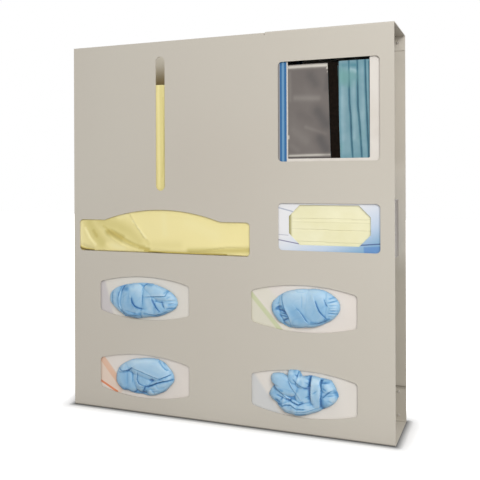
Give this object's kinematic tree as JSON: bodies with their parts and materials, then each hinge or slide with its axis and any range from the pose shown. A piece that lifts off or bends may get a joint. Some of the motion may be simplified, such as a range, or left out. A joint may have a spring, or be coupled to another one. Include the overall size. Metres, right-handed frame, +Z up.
{
  "type": "wall dispenser for gloves, masks and gowns",
  "caption": "Shallow folded-sheet cabinet whose front openings hand out gloves, face masks, visor masks and gowns from cartons on shelves behind them.",
  "frame": {"origin": "middle of the base, on the surface that the cabinet stands on", "axes": "+X to the right as seen from the front, +Y towards the wall, +Z up"},
  "size_m": [0.587, 0.1305, 0.66],
  "materials": {
    "coated_steel": "satin powder coat, warm light grey",
    "rivet_metal": "dull",
    "glove_card": "smooth coated card",
    "nitrile": "soft satin nitrile film",
    "mask_card": "smooth coated card",
    "yellow_mask": "non-woven",
    "shield_card": "smooth coated card",
    "blue_mask": "non-woven",
    "dark_foam": "closed-cell foam",
    "clear_film": "clear film over a grey interior",
    "yellow_gown": "non-woven"
  },
  "bodies": {
    "root": {"front_panel": "coated_steel", "back_panel": "coated_steel", "mid_shelf": "coated_steel", "left_glove_shelf": "coated_steel", "right_glove_shelf": "coated_steel", "shield_shelf": "coated_steel", "glove_divider": "coated_steel", "gown_wall": "coated_steel", "column_divider": "coated_steel", "floor_rivets": "rivet_metal", "top_rivets": "rivet_metal", "glove_carton_lower_left": "glove_card", "glove_carton_upper_left": "glove_card", "glove_carton_lower_right": "glove_card", "glove_carton_upper_right": "glove_card", "gloves_lower_left": "nitrile", "gloves_upper_left": "nitrile", "gloves_lower_right": "nitrile", "gloves_upper_right": "nitrile", "mask_carton": "mask_card", "mask_stack": "yellow_mask", "shield_carton": "shield_card", "shield_mask": "blue_mask", "foam_strip": "dark_foam", "visor_film": "clear_film", "gown_stack": "yellow_gown"}
  },
  "joints": []
}
